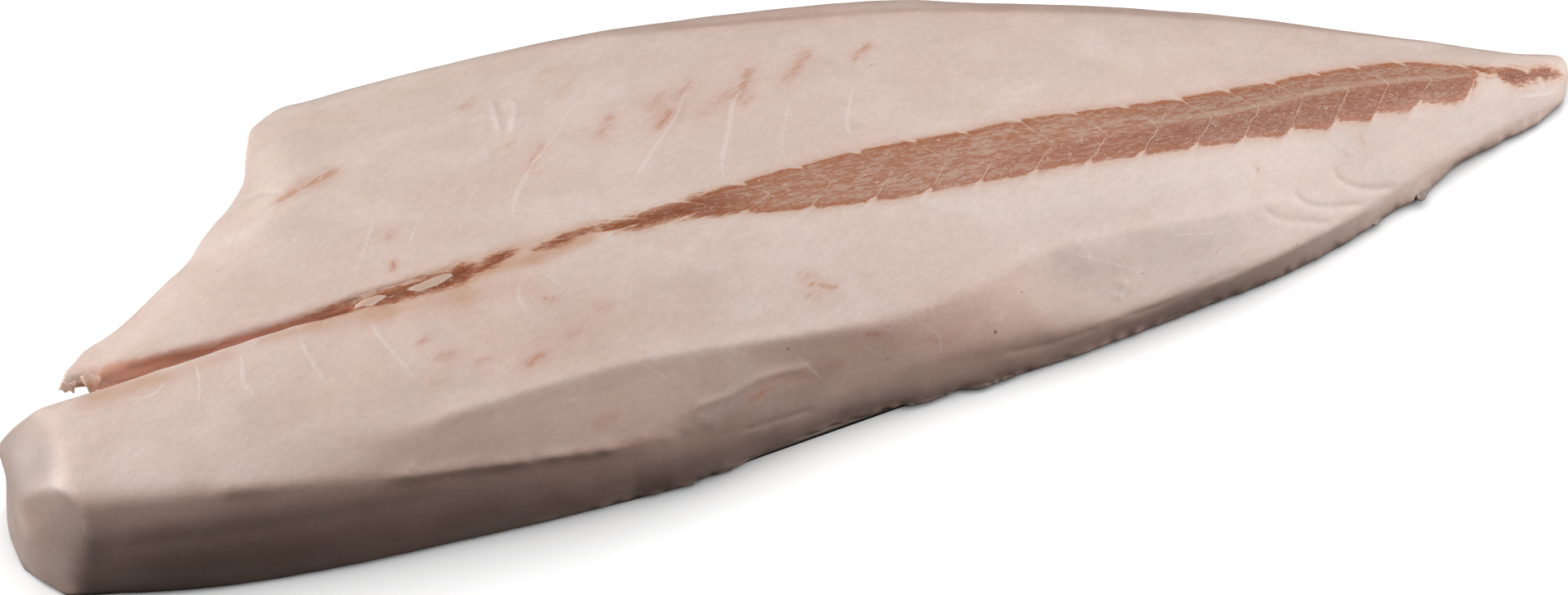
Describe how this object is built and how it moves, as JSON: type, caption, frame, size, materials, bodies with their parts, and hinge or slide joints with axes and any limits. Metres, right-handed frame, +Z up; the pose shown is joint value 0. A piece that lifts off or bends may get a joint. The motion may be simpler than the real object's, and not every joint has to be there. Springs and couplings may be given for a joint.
{
  "type": "butterfish loin",
  "caption": "Raw skinned butterfish loin, one thick tapering piece with a blunt notched head end, a short slit between its two lobes and a flat underside.",
  "frame": {"origin": "centre of the outline, on the surface that the loin rests on", "axes": "+X from the blunt head end to the tail tip, +Y towards the thick back lobe, +Z up"},
  "size_m": [0.6608, 0.209, 0.0668],
  "materials": {
    "flesh": "moist raw flesh"
  },
  "bodies": {
    "root": {"loin": "flesh"}
  },
  "joints": []
}
